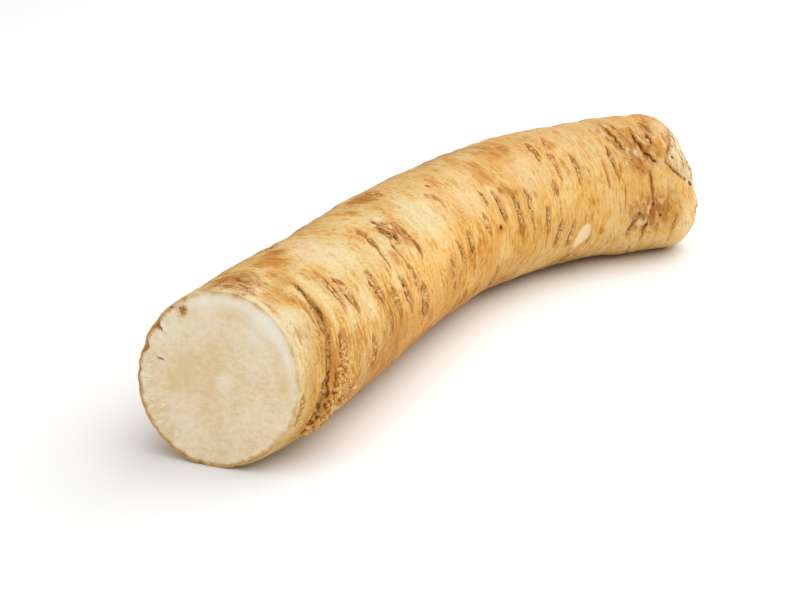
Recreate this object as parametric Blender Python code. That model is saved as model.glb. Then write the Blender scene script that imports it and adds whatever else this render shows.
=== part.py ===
"""A fresh horseradish root on its side: a thick bent cylinder, cut across one end and trimmed at the crown.

Metres, +Z up. The cut face looks towards -X and the crown lies at +X. The root rests on flats at Z = 0.
Every place on the skin is given by its distance along the bent axis from the cut, and by its angle round it:
0 degrees is the top, 90 degrees the -Y side, 180 degrees the underside.
"""

import math
import random

import bmesh
import bpy
import numpy as np

MM = 0.001
NODE_NAME = "horseradish_root"

# Driving dimensions of the body
ROOT_LENGTH = 258 * MM  # along the bent axis, from the cut to the crown
HEADINGS_DEG = (3, 13, 7.5, -16, -43)  # of the axis, seen from above, at even steps from cut to crown
RADII = (23.6 * MM, 24.1 * MM, 23.4 * MM, 23.8 * MM, 23.7 * MM)  # at the same steps
AXIS_START = (-124.3 * MM, -12.0 * MM)  # X and Y of the cut's centre, which centres the root over the origin
MEAN_RADIUS = 23.8 * MM
REST_SINK = 0.4 * MM  # how far the round underside is pressed into the flats it rests on

# The cut: its plane leans back at the top and turns a little towards +Y
CUT_LEAN = 0.17  # run along the axis for each unit of height
CUT_TURN = 0.18  # the same for each unit to the -Y side
CUT_BLEND = 60 * MM  # the rings straighten up over this length
RIM_BEVEL = 0.6 * MM

# The crown: a blunt end, cut back at the top
CROWN_LENGTH = 16 * MM
CROWN_POWER = 2.3  # 2 is a half ellipsoid, and more is blunter
CROWN_LEAN = 0.22
CROWN_BLEND = 55 * MM
CROWN_RINGS = 14
CROWN_ROUGHNESS = 0.22 * MM
CROWN_WAVES = {"seed": 17, "count": 16, "lengths": (9 * MM, 20 * MM)}

# The grid that carries the relief
SIDES = 36
RING_SPACING = 1.72 * MM

AXIS_SAMPLES = 1200
SKIN_FADE = 0.6  # share of the radius within which the relief dies away towards the crown's middle

# Relief made of waves that close round the root: their seed, number, lengths and the most turns they make
SWELL = 0.14 * MM
SWELL_WAVES = {"seed": 3, "count": 14, "lengths": (24 * MM, 80 * MM), "turns": 3}
RIDGE = 0.15 * MM
RIDGE_WAVES = {"seed": 8, "count": 26, "lengths": (6.6 * MM, 11 * MM), "turns": 2}

# The ridges come and go in patches: their mean share, its swing and its limits
PATCH_MEAN = 0.65
PATCH_SWING = 0.35
PATCH_LIMITS = (0.15, 1.3)
PATCH_WAVES = {"seed": 5, "count": 10, "lengths": (24 * MM, 80 * MM), "turns": 3}

# Lens-shaped scars that lie across the root: millimetres along, degrees round, half length, half width, depth
# and slant. The slant is the run along the axis for each unit round.
SCARS = (
    (29.0, 42, 6.6, 1.9, 0.8, -0.09),
    (34.2, 50, 5.2, 1.6, 0.8, 0.1),
    (49.9, 56, 5.4, 2.0, 0.9, 0.0),
    (21.4, 82, 6.2, 2.0, 1.0, -0.1),
    (2.6, 104, 4.2, 1.4, 0.6, 0.0),
    (58.8, 75, 4.3, 1.3, 0.7, 0.15),
    (52.3, 83, 3.7, 1.1, 0.6, 0.05),
    (40.3, 96, 4.8, 1.3, 0.6, 0.1),
    (66.0, 75, 5.0, 1.6, 0.9, 0.25),
    (77.3, 88, 5.4, 2.5, 1.0, 0.2),
    (73.3, 69, 4.2, 1.1, 0.6, 0.0),
    (83.6, 47, 4.8, 1.6, 0.8, -0.1),
    (116.5, 31, 3.6, 1.5, 0.6, 0.25),
    (121.2, 75, 4.6, 1.3, 0.7, 0.1),
    (112.8, 81, 5.8, 1.1, 0.5, 0.25),
    (148.4, 59, 5.6, 1.7, 0.8, 0.1),
    (158.4, 70, 8.6, 2.0, 1.1, 0.06),
    (166.0, 71, 6.4, 1.6, 0.9, 0.0),
    (175.3, 86.5, 5.0, 1.7, 0.9, 0.0),
    (182.8, 101, 4.6, 1.6, 0.8, -0.12),
    (190.6, 106, 5.4, 1.4, 0.8, -0.2),
    (182.9, 27, 4.6, 1.5, 0.8, -0.25),
    (197.8, 50, 5.4, 1.2, 0.6, 0.0),
    (216.2, 47, 4.8, 1.1, 0.6, 0.0),
    (145.8, 123, 5.6, 1.3, 0.8, 0.35),
    (222.6, 112, 4.5, 1.1, 0.7, -0.1),
    (229.6, 118, 4.2, 0.9, 0.7, 0.0),
    (242.5, 112, 4.4, 1.0, 0.8, -0.1),
)
NARROWEST_SCAR = 1.5 * MM  # half a width that the grid can still carry
SCAR_FLOOR = 0.8  # of the written depth, reached at SCAR_WALL from the rim
SCAR_WALL = 0.65
LIP_SHARE = 0.32  # of a scar's depth, raised round it
SCAR_LIP = (-0.35, 0.3)  # where that lip stands outside the lens and how wide it is, in half widths
GROOVE_LIP = (1.3, 0.35)  # the same for a groove, from its middle

# More scars on the far side and the underside, drawn within these limits
BACK_SCARS = 30
BACK_SEED = 41
BACK_ALONG_MM = (10, 236)
BACK_ROUND_DEG = (135, 320)
BACK_HALF_LENGTH_MM = (2.8, 7.5)
BACK_HALF_WIDTH_MM = (1.1, 1.9)
BACK_DEPTH_MM = (0.5, 1.0)
BACK_SLANT = (-0.25, 0.25)

# Long grooves: half width, depth and the places they run through, in millimetres along and degrees round
COLLAR_PATH = ((18.7, 25), (16.3, 48), (16.2, 56), (14.4, 75), (13.4, 88), (11.4, 100), (10.6, 119))
COLLAR_SCAR = (2.0, 0.8, COLLAR_PATH)
CROWN_CRACK = (1.9, 0.7, ((229.8, 22), (229.6, 37), (231.2, 43), (233.9, 54), (238.1, 57.8)))
CROWN_SEAM = (1.8, 0.4, ((238.1, 57.8), (244, 67), (250.6, 77.5)))
CROWN_BRANCH = (1.8, 0.5, ((221.7, 20), (221.9, 36), (225.1, 42.7)))
CROWN_FOLD = (1.8, 0.4, ((225.5, 54), (230.6, 66), (231.5, 80), (232, 91)))
GROOVES = (COLLAR_SCAR, CROWN_CRACK, CROWN_SEAM, CROWN_BRANCH, CROWN_FOLD)

# Round knobs: along, round, radius and height
KNOBS = (
    (75.5, 36, 5.2, 0.9),
    (71, 53, 2.2, 0.5),
    (226, 30, 4.0, 0.9),
    (239, 44, 4.5, 1.2),
    (155, 50, 2.2, 0.5),
    (60, 205, 5.0, 1.2),
    (138, 250, 5.5, 1.3),
    (205, 290, 4.5, 1.0),
    (98, 300, 4.0, 0.9),
    (226, 148, 9.0, 0.9),
    (254, 108, 1.8, 0.8),
)
KNOB_FALL = 1.6  # how fast a knob falls off
EYE = (75.8, 36, 2.1, 0.7)  # a pit in the middle of the first knob

# Stubs of fine rootlets below the collar scar: the patch that they stand in, and how they are drawn
ROOTLETS = 22
ROOTLET_SEED = 9
ROOTLET_ALONG_MM = (13, 30)
ROOTLET_ROUND_DEG = (98, 138)
ROOTLET_RADIUS_MM = (1.5, 2.4)
ROOTLET_HEIGHT_MM = (0.4, 1.3)

SKIN_COLOUR = (0.72, 0.47, 0.18, 1.0)
SKIN_ROUGHNESS = 0.55


def clear_scene():
    for obj in list(bpy.data.objects):
        bpy.data.objects.remove(obj, do_unlink=True)


def smooth(low, high, value):
    """0 up to low, 1 from high on, and an S between them."""
    step = np.clip((value - low) / (high - low), 0, 1)
    return step * step * (3 - 2 * step)


def through(values):
    """The one smooth curve over 0 to 1 through values at even steps."""
    steps = np.linspace(0, 1, len(values))
    return np.polynomial.Polynomial.fit(steps, values, len(values) - 1)


def bent_axis():
    """Distance along the axis, heading, X and Y, sampled finely."""
    along = np.linspace(0, ROOT_LENGTH, AXIS_SAMPLES)
    heading = through(np.radians(HEADINGS_DEG))(along / ROOT_LENGTH)
    middle = (heading[1:] + heading[:-1]) / 2
    step = along[1]
    x = AXIS_START[0] + np.concatenate([[0], np.cumsum(np.cos(middle)) * step])
    y = AXIS_START[1] + np.concatenate([[0], np.cumsum(np.sin(middle)) * step])
    return along, heading, x, y


def draw_waves(seed, count, lengths, turns):
    """Waves as (radians a metre along, whole turns round, phase)."""
    draw = random.Random(seed)
    return [
        (2 * math.pi / draw.uniform(*lengths), draw.randint(-turns, turns), draw.uniform(0, 2 * math.pi))
        for _ in range(count)
    ]


def wave_height(waves, along, around):
    total = sum(np.cos(rate * along + turns * around + phase) for rate, turns, phase in waves)
    return total / math.sqrt(len(waves) / 2)


def arc_from(around, degrees):
    """Distance round the root from an angle, the short way, in metres."""
    turn = around - math.radians(degrees)
    return MEAN_RADIUS * (np.mod(turn + math.pi, 2 * math.pi) - math.pi)


def scar_relief(along, around, scar):
    place, degrees, half_length, half_width, depth, slant = scar
    reach = arc_from(around, degrees)
    across = np.abs(along - place * MM - slant * reach)
    width = max(half_width * MM, NARROWEST_SCAR)
    inside = 1 - (reach / (half_length * MM)) ** 2 - across / width
    lip = LIP_SHARE * np.exp(-(((inside - SCAR_LIP[0]) / SCAR_LIP[1]) ** 2))
    return depth * MM * (lip - SCAR_FLOOR * smooth(0, SCAR_WALL, inside))


def path_distance(along, around, path):
    """Distance on the skin from a path of places."""
    nearest = np.full(along.shape, np.inf)
    for (place_a, degrees_a), (place_b, degrees_b) in zip(path, path[1:]):
        run = np.array([(place_b - place_a) * MM, math.radians(degrees_b - degrees_a) * MEAN_RADIUS])
        off_along, off_round = along - place_a * MM, arc_from(around, degrees_a)
        share = np.clip((off_along * run[0] + off_round * run[1]) / (run @ run), 0, 1)
        distance = np.hypot(off_along - share * run[0], off_round - share * run[1])
        nearest = np.minimum(nearest, distance)
    return nearest


def groove_relief(along, around, groove):
    half_width, depth, path = groove
    away = path_distance(along, around, path) / (half_width * MM)
    lip = LIP_SHARE * np.exp(-(((away - GROOVE_LIP[0]) / GROOVE_LIP[1]) ** 2))
    return depth * MM * (lip - smooth(0, 1, 1 - away))


def knob_relief(along, around, knob):
    place, degrees, radius, height = knob
    away = np.hypot(along - place * MM, arc_from(around, degrees)) / (radius * MM)
    return height * MM * np.exp(-KNOB_FALL * away**2)


def back_scars():
    draw = random.Random(BACK_SEED)
    return [
        (
            draw.uniform(*BACK_ALONG_MM),
            draw.uniform(*BACK_ROUND_DEG),
            draw.uniform(*BACK_HALF_LENGTH_MM),
            draw.uniform(*BACK_HALF_WIDTH_MM),
            draw.uniform(*BACK_DEPTH_MM),
            draw.uniform(*BACK_SLANT),
        )
        for _ in range(BACK_SCARS)
    ]


def rootlet_stubs():
    draw = random.Random(ROOTLET_SEED)
    return [
        (
            draw.uniform(*ROOTLET_ALONG_MM),
            draw.uniform(*ROOTLET_ROUND_DEG),
            draw.uniform(*ROOTLET_RADIUS_MM),
            draw.uniform(*ROOTLET_HEIGHT_MM),
        )
        for _ in range(ROOTLETS)
    ]


def skin_relief(along, around):
    """How far the skin stands out from the plain bent cylinder."""
    relief = SWELL * wave_height(draw_waves(**SWELL_WAVES), along, around)
    patches = PATCH_MEAN + PATCH_SWING * wave_height(draw_waves(**PATCH_WAVES), along, around)
    relief += RIDGE * wave_height(draw_waves(**RIDGE_WAVES), along, around) * np.clip(patches, *PATCH_LIMITS)
    for scar in [*SCARS, *back_scars()]:
        relief += scar_relief(along, around, scar)
    for groove in GROOVES:
        relief += groove_relief(along, around, groove)
    for knob in [*KNOBS, *rootlet_stubs()]:
        relief += knob_relief(along, around, knob)
    return relief - knob_relief(along, around, EYE)


def crown_relief(up, right):
    """Roughness of the trimmed crown along the axis, from its height and its side offset."""
    draw = random.Random(CROWN_WAVES["seed"])
    total = 0
    for _ in range(CROWN_WAVES["count"]):
        rate = 2 * math.pi / draw.uniform(*CROWN_WAVES["lengths"])
        way, phase = draw.uniform(0, math.pi), draw.uniform(0, 2 * math.pi)
        total = total + np.cos(rate * (up * math.cos(way) + right * math.sin(way)) + phase)
    return CROWN_ROUGHNESS * total / math.sqrt(CROWN_WAVES["count"] / 2)


def ring_places():
    """Distance along the axis and share of the full radius, for each ring from the cut to the crown."""
    tube_length = ROOT_LENGTH - CROWN_LENGTH
    count = round(tube_length / RING_SPACING)
    places = [(0.0, 1 - RIM_BEVEL / RADII[0])]
    places += [(RIM_BEVEL + (tube_length - RIM_BEVEL) * i / count, 1.0) for i in range(count + 1)]
    for i in range(1, CROWN_RINGS):
        turn = math.pi / 2 * i / CROWN_RINGS
        reach, share = (f(turn) ** (2 / CROWN_POWER) for f in (math.sin, math.cos))
        places.append((tube_length + CROWN_LENGTH * reach, share))
    return places


def skin_points(along, around, share):
    """Points of the surface: share is 1 on the skin, and less on the inner rings of the crown and the cut."""
    samples, headings, axis_x, axis_y = bent_axis()
    heading = np.interp(along, samples, headings)
    radius = through(RADII)(along / ROOT_LENGTH)
    reach = (radius + skin_relief(along, around) * smooth(0, SKIN_FADE, share)) * share
    up, right = reach * np.cos(around), reach * np.sin(around)
    near_cut = np.clip(1 - along / CUT_BLEND, 0, 1) ** 2
    near_crown = np.clip(1 - (ROOT_LENGTH - along) / CROWN_BLEND, 0, 1) ** 2
    shift = near_cut * (CUT_LEAN * up + CUT_TURN * right) - near_crown * CROWN_LEAN * up
    shift += crown_relief(up, right) * smooth(ROOT_LENGTH - CROWN_LENGTH, ROOT_LENGTH, along)
    x = np.interp(along, samples, axis_x) + np.cos(heading) * shift + np.sin(heading) * right
    y = np.interp(along, samples, axis_y) + np.sin(heading) * shift - np.cos(heading) * right
    z = np.maximum(radius - REST_SINK + up, 0)
    return np.stack([x, y, z], axis=-1)


def root_mesh():
    places = ring_places()
    angles = np.arange(SIDES) * 2 * math.pi / SIDES
    along, around = np.meshgrid([place for place, _ in places], angles, indexing="ij")
    share = np.repeat(np.array([[share] for _, share in places]), SIDES, axis=1)
    rings = skin_points(along, around, share)
    pole = skin_points(np.array([ROOT_LENGTH]), np.array([0.0]), np.array([0.0]))[0]

    shape = bmesh.new()
    grid = [[shape.verts.new(point) for point in ring] for ring in rings]
    tip = shape.verts.new(pole)
    for near, far in zip(grid, grid[1:]):
        for i in range(SIDES):
            j = (i + 1) % SIDES
            shape.faces.new((near[i], near[j], far[j], far[i]))
    for i in range(SIDES):
        shape.faces.new((grid[-1][i], grid[-1][(i + 1) % SIDES], tip))
    shape.faces.new(list(reversed(grid[0])))  # the flat cut
    bmesh.ops.recalc_face_normals(shape, faces=shape.faces)

    mesh = bpy.data.meshes.new(NODE_NAME)
    shape.to_mesh(mesh)
    shape.free()
    mesh.shade_smooth()
    return mesh


def skin_material():
    material = bpy.data.materials.new("root_skin")
    material.use_nodes = True
    shader = material.node_tree.nodes["Principled BSDF"]
    shader.inputs["Base Color"].default_value = SKIN_COLOUR
    shader.inputs["Roughness"].default_value = SKIN_ROUGHNESS
    shader.inputs["Metallic"].default_value = 0.0
    return material


def main():
    clear_scene()
    root = bpy.data.objects.new(NODE_NAME, root_mesh())
    root.data.materials.append(skin_material())
    bpy.context.scene.collection.objects.link(root)


main()
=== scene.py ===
# A fresh horseradish root on its side. One closed mesh, grown by formula over the CAD root, carries the
# scars, cracks, cork and the cut, and its one material reads them as fields that are kept on the mesh.
import math
import random

import bmesh
import bpy
import numpy as np
from mathutils import Matrix, Vector


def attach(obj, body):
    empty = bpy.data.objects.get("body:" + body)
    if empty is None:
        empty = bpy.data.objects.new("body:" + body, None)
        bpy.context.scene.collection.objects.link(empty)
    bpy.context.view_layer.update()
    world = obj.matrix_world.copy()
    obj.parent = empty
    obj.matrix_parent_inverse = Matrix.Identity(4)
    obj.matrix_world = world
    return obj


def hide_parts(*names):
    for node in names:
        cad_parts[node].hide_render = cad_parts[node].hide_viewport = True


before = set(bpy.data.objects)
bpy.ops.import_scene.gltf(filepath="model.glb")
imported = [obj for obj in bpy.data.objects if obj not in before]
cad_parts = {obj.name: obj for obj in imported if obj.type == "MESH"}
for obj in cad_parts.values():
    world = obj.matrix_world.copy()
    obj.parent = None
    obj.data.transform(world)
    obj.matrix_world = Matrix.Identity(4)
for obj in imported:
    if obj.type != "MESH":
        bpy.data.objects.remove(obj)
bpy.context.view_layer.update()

mm = 0.001

# The body, in millimetres and degrees. A place on the skin is (along, round): millimetres along the bent
# axis from the cut, and degrees round it, with 0 on top, 90 on the -Y side and 180 underneath.
body = {
    "length": 258,
    "headings": (3, 13, 7.5, -16, -43),  # of the axis seen from above, at even steps from cut to crown
    "radii": (23.6, 24.1, 23.4, 23.8, 23.7),
    "meanRadius": 23.8,
    "start": (-124.3, -12),
    "restSink": 0.4,
    "cutLean": 0.17, "cutTurn": 0.18, "cutBlend": 60,
    "crownLength": 16, "crownPower": 2.3, "crownLean": 0.22, "crownBlend": 55,
}

# How high each kind of relief is, in mm. The lips and clefts of scars and grooves are shares of their depth.
heights = {
    "swell": 0.14, "ridge": 0.15, "crown": 0.22, "ring": 0.1, "wrinkle": 0.14, "grain": 0.06,
    "scarLip": 0.2, "scarCleft": 0.5, "grooveLip": 0.22, "fold": 0.5, "foldCleft": 0.2, "peel": 0.35,
    "cork": 0.45, "saw": 0.1, "faceDent": 0.22, "chipEdge": 0.12, "burr": 0.5,
}

# Waves over the skin: seed, count, shortest and longest in mm, and the most turns round the root
waves = {
    "swell": (3, 14, 24, 80, 3), "patch": (5, 10, 24, 80, 3), "ridge": (8, 26, 6.6, 11, 2),
    "crown": (17, 16, 9, 20),
}

# How finely the visible mesh is laid out
grid = {
    "sides": 184, "faceRings": 30, "rimRings": 4, "rimRadius": 0.35, "ringSpacing": 0.56, "crownRings": 42,
}

# Lens-shaped scars across the root: along, round, half length, half width, depth, slant
scars = (
    (29, 42, 6.6, 1.9, 0.8, -0.09), (34.2, 50, 5.2, 1.6, 0.8, 0.1), (49.9, 56, 5.4, 2, 0.9, 0),
    (21.4, 82, 6.2, 2, 1, -0.1), (2.6, 104, 4.2, 1.4, 0.6, 0), (58.8, 75, 4.6, 1.5, 0.9, 0.15),
    (52.3, 83, 3.9, 1.3, 0.8, 0.05), (40.3, 96, 4.8, 1.3, 0.6, 0.1), (66, 75, 5, 1.6, 0.9, 0.25),
    (77.3, 88, 5.4, 2.5, 1, 0.2), (73.3, 69, 4.6, 1.3, 0.8, 0), (65.2, 25, 3.4, 1.2, 0.6, -0.1),
    (83.6, 47, 4.8, 1.1, 0.5, -0.1), (116.5, 31, 3.6, 1.5, 0.6, 0.25), (97, 91, 3, 0.8, 0.5, 0.45),
    (103, 88, 4.6, 1.4, 0.6, 0.2), (121.2, 75, 4.6, 1.3, 0.7, 0.1), (112.8, 81, 5.8, 1.1, 0.5, 0.25),
    (141.1, 51, 3.3, 0.8, 0.7, 0), (135.8, 69, 3.5, 1.5, 0.6, 0.1), (148.4, 59, 5.6, 1.7, 0.8, 0.1),
    (158.4, 70, 8.6, 2, 1.1, 0.06), (166, 71, 6.4, 1.6, 0.9, 0), (175.3, 86.5, 5, 1.7, 0.7, 0),
    (182.8, 101, 4.6, 1.6, 0.6, -0.12), (190.6, 106, 5.4, 1.4, 0.6, -0.2),
    (182.9, 27, 4.6, 1.5, 0.8, -0.25), (188.2, 40, 3, 1.2, 0.5, 0), (191.8, 20, 4.4, 0.8, 0.5, -0.3),
    (197.8, 50, 5.4, 1.2, 0.6, 0), (216.2, 47, 4.8, 1.1, 0.6, 0), (182.8, 63, 2.8, 0.9, 0.5, 0),
    (187.4, 53, 2.8, 0.8, 0.5, 0), (145.8, 123, 5.6, 1.3, 0.8, 0.35), (222.6, 112, 4.5, 1, 0.5, -0.1),
    (229.6, 118, 4.2, 0.8, 0.5, 0), (242.5, 112, 4.4, 0.9, 0.55, -0.1), (103.4, -8, 3.2, 1.2, 0.6, -0.35),
    (93.5, -14, 3.2, 1.4, 0.5, -0.3),
)

# Fine dark creases, written in the same way
creases = (
    (13.1, 48, 8, 0.7, 0.35, 0.05), (4.7, 57, 2.9, 0.7, 0.2, 0), (30.5, 94, 2.8, 0.6, 0.25, 0),
    (211, 62, 6, 0.7, 0.4, 0), (216.1, 65, 3.2, 0.6, 0.3, 0), (218.8, 58, 2, 0.7, 0.3, 0),
    (218.8, 83, 5.4, 0.6, 0.35, 0), (205.7, 35, 5, 0.9, 0.25, 0), (214.8, 18, 2.6, 0.8, 0.25, 0),
    (202.6, 55, 1.2, 0.6, 0.25, 0), (197.5, 63, 2, 0.8, 0.3, 0), (88.8, 44, 0.8, 1.6, 0.25, -1.2),
    (191.9, 46, 1.2, 0.9, 0.25, 0), (174.7, 47, 1.2, 0.7, 0.25, -0.5), (177.2, 46, 1, 0.6, 0.25, -0.5),
    (160.2, 92, 5.2, 0.6, 0.35, 0.05), (166.6, 93, 4.4, 0.6, 0.3, 0.05), (175.4, 103, 4, 0.6, 0.3, 0.05),
    (63.4, 41, 4.4, 0.6, 0.3, 0), (71.4, 46, 4, 0.6, 0.35, 0), (201.8, 117, 2.2, 0.8, 0.4, -0.4),
    (238.4, 18, 3, 0.8, 0.4, 0.3), (226.4, 141, 3.6, 0.9, 0.4, 0.2), (214.5, 124, 2.6, 0.9, 0.2, 0),
)

# Long grooves: depth, how dark, and the places on the way with the half width there
grooves = {
    "collar": (0.9, 1.15, ((18.7, 25, 0.5), (17.2, 38, 1.1), (16.3, 48, 1.9), (16.2, 56, 2.1),
        (15.5, 66, 1.6), (14.4, 75, 1.4), (13.4, 88, 1.7), (11.4, 100, 1.8), (10.6, 119, 1.5))),
    "topLine": (0.2, 0.9, ((36.5, -27, 0.4), (38.5, -23, 0.6), (42, -20.5, 0.6), (45, -18.5, 0.4))),
    "crack": (0.6, 1, ((230.4, 25, 0.3), (229.6, 34, 0.4), (229.6, 38, 0.6), (231.5, 40, 0.5),
        (231.5, 43, 0.5))),
    "bridge": (0.3, 0.6, ((231.5, 43, 0.5), (231.8, 48, 0.5))),
    "crackEnd": (0.6, 1, ((231.8, 48, 0.4), (233.4, 51, 0.7), (234.5, 56, 0.7), (236, 57.5, 0.3))),
    "seam": (0.3, 0.7, ((239.8, 58, 0.4), (241.7, 62, 0.5), (243.7, 67, 0.5), (246.5, 71, 0.5),
        (249.3, 75, 0.6))),
    "branch": (0.4, 0.75, ((221.2, 18, 0.4), (221.8, 27, 0.5), (222.3, 35, 0.6), (222.9, 42, 0.5),
        (224.8, 45, 0.3))),
    "flap": (0.3, 0.5, ((224.8, 52.6, 0.5), (226.9, 61.7, 0.7), (229, 64.3, 0.5))),
    "fold": (0.3, 0.65, ((232.3, 65, 0.4), (231.8, 72, 0.4), (231.5, 78, 0.5), (232, 82, 0.4),
        (231.6, 92, 0.4))),
    "spur": (0.4, 0.7, ((237.7, 13, 0.4), (238, 20, 0.5), (238.8, 27, 0.4))),
    "nick": (0.4, 0.8, ((236.3, 31, 0.5), (236.6, 36, 0.5), (236, 42, 0.4))),
    "forks": (0.4, 0.6, ((225.9, 99, 0.4), (223.2, 108, 0.5), (221.8, 117, 0.4))),
    "spine": (0.4, 0.6, ((232, 92.5, 0.5), (230.3, 104, 0.4), (229.6, 114, 0.5), (229.4, 124, 0.3))),
    "corkEdge": (0.3, 0.5, ((248.2, 26, 0.5), (246.9, 36, 0.6), (244.7, 44, 0.6), (242, 51, 0.5),
        (240.7, 56, 0.4))),
    "eyeArch": (0.3, 0.7, ((77.6, 17, 0.3), (76.2, 22, 0.5), (73.8, 27, 0.7), (72.4, 31, 0.5),
        (71.9, 36, 0.4))),
    "eyeBrow": (0.3, 0.65, ((76.2, 22, 0.4), (77.5, 29, 0.5), (76.7, 33, 0.5), (75.6, 37, 0.5))),
    "eyeRoof": (0.3, 0.6, ((79, 23, 0.3), (80.5, 26, 0.4), (82.9, 27, 0.4), (82.6, 31, 0.5),
        (81.3, 36, 0.6), (80.5, 42, 0.4))),
    "eyeLid": (0.2, 0.55, ((74.6, 23, 0.3), (75.4, 27, 0.5), (74.6, 31, 0.5), (75.9, 35, 0.4))),
    "eyeSlit": (0.4, 0.8, ((75.8, 36.6, 0.5), (75.5, 39.5, 0.6))),
    "eyeBase": (0.3, 0.65, ((71.9, 36, 0.4), (74.4, 36.4, 0.5), (74.3, 33, 0.5), (73, 31, 0.4))),
    "eyeTail": (0.2, 0.65, ((71.7, 40, 0.3), (71.3, 48, 0.5), (71.6, 52, 0.4), (72.1, 61, 0.3))),
    "longLine": (0.3, 0.5, ((67.2, 15, 0.3), (66, 20, 0.6), (64.3, 32, 0.5), (63.8, 45, 0.4),
        (62.7, 54, 0.3))),
    "rightLine": (0.2, 0.6, ((85, 27, 0.3), (84.3, 35, 0.5), (83.4, 44, 0.5), (84.3, 52, 0.4),
        (82.6, 60, 0.3))),
    "rimArc": (0.2, 0.25, ((12.7, -17, 0.5), (17, -15, 0.6), (16.7, -5, 0.5), (13.5, 4, 0.6), (10, 10, 0.5),
        (7.8, 15, 0.4))),
    "wrinkleA": (0.2, 0.6, ((4.4, -14, 0.3), (8.2, -12, 0.4), (12, -12, 0.3))),
    "wrinkleB": (0.2, 0.7, ((8.4, -6, 0.3), (6.7, -2, 0.5), (5.7, 4, 0.5), (5.4, 10, 0.4))),
    "wrinkleC": (0.2, 0.6, ((11.4, -6, 0.3), (9.7, 0, 0.5), (9.4, 4, 0.4))),
    "wrinkleD": (0.2, 0.6, ((21.4, -11, 0.3), (21, -7, 0.5), (20.5, -1, 0.4))),
}

# Pits and dots: along, round, radius, depth
pits = (
    (75.6, 38, 0.9, 0.6), (122, 16.6, 1.1, 0.5), (144.4, 75.8, 1.35, 0.4), (251.4, 78, 1.2, 0.6),
    (236.3, 33, 0.9, 0.7), (236.6, 40, 0.7, 0.4), (65.9, 69, 0.8, 0.4), (229.6, 110.6, 0.8, 0.6),
    (225.9, 99, 0.8, 0.4), (232, 92.5, 0.8, 0.5), (235.5, 103, 0.8, 0.5), (222.2, 108.6, 0.7, 0.5),
    (16.4, 108, 0.8, 0.5), (11.4, 118, 1, 0.6), (244.2, 54.5, 0.7, 0.5), (250.4, 55, 0.7, 0.5),
    (255.4, 101, 0.9, 0.5), (253.4, 114, 0.8, 0.4),
)

# Raised places: along, round, radius, height
knobs = (
    (75.5, 36, 5.2, 0.9), (71, 53, 2.2, 0.5), (226, 30, 4, 0.9), (239, 44, 4.5, 1.2), (155, 50, 2.2, 0.5),
    (60, 205, 5, 1.2), (138, 250, 5.5, 1.3), (205, 290, 4.5, 1), (98, 300, 4, 0.9), (226, 148, 9, 0.9),
    (78.5, 19, 3, 0.4), (234.5, 47, 2.2, 0.5), (254.6, 106, 1.4, 2), (252.6, 120, 1.6, 1.4),
)

# The lumpy skin below the collar groove: along, round, radius, height, and how far it is sunk
roughPatch = (20, 116, 12, 0.5, 0.1)

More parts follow.
